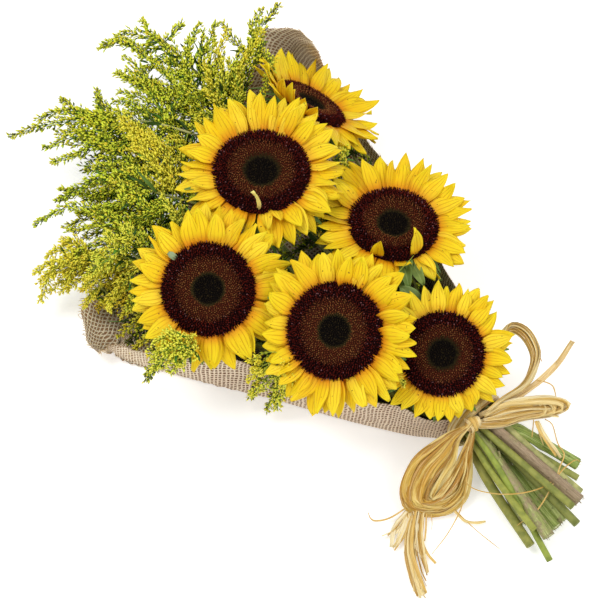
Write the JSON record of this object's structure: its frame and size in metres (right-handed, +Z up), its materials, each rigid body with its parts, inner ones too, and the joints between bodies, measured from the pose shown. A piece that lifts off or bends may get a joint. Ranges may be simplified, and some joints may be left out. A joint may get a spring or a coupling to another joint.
{
  "type": "bunch of sunflowers",
  "caption": "Bunch of cut sunflowers with goldenrod, lying in an open burlap wrap and tied at the stems with a raffia bow; dresses a table, shelf or market stall.",
  "frame": {"origin": "middle of the bottom of the bounding box, on the surface that the bunch lies on", "axes": "+X along the bunch from the open mouth of the wrap to the cut stem ends, +Y across it, +Z up"},
  "size_m": [0.5762, 0.3252, 0.1359],
  "materials": {
    "petals": "matt, thin and a little translucent ray petals",
    "disc": "dull, spiky dark florets",
    "bracts": "matt, hairy green bracts",
    "stems": "fresh green ribbed stems, some dried to brown",
    "goldenrod": "matt small buds on green stalks",
    "burlap": "coarse open jute weave",
    "raffia": "dry fibrous straw, a little glossy"
  },
  "bodies": {
    "root": {"sunflower_1_disc": "disc", "sunflower_1_ray_petals": "petals", "sunflower_1_calyx": "bracts", "sunflower_1_stem": "stems", "sunflower_2_disc": "disc", "sunflower_2_ray_petals": "petals", "sunflower_2_calyx": "bracts", "sunflower_2_stem": "stems", "sunflower_3_disc": "disc", "sunflower_3_ray_petals": "petals", "sunflower_3_calyx": "bracts", "sunflower_3_stem": "stems", "sunflower_4_disc": "disc", "sunflower_4_ray_petals": "petals", "sunflower_4_calyx": "bracts", "sunflower_4_stem": "stems", "sunflower_5_disc": "disc", "sunflower_5_ray_petals": "petals", "sunflower_5_calyx": "bracts", "sunflower_5_stem": "stems", "sunflower_6_disc": "disc", "sunflower_6_ray_petals": "petals", "sunflower_6_calyx": "bracts", "sunflower_6_stem": "stems", "burlap_wrap": "burlap", "raffia_band": "raffia", "raffia_knot": "raffia", "raffia_loop_upper": "raffia", "raffia_loop_right": "raffia", "raffia_loop_lower": "raffia", "raffia_tail_straight": "raffia", "raffia_tail_long": "raffia", "raffia_tail_mid": "raffia", "raffia_tail_side": "raffia", "raffia_strand_right": "raffia", "goldenrod_spray_1": "goldenrod", "goldenrod_spray_2": "goldenrod", "goldenrod_spray_3": "goldenrod", "goldenrod_spray_4": "goldenrod", "goldenrod_spray_5": "goldenrod", "goldenrod_spray_6": "goldenrod", "goldenrod_spray_7": "goldenrod"}
  },
  "joints": []
}
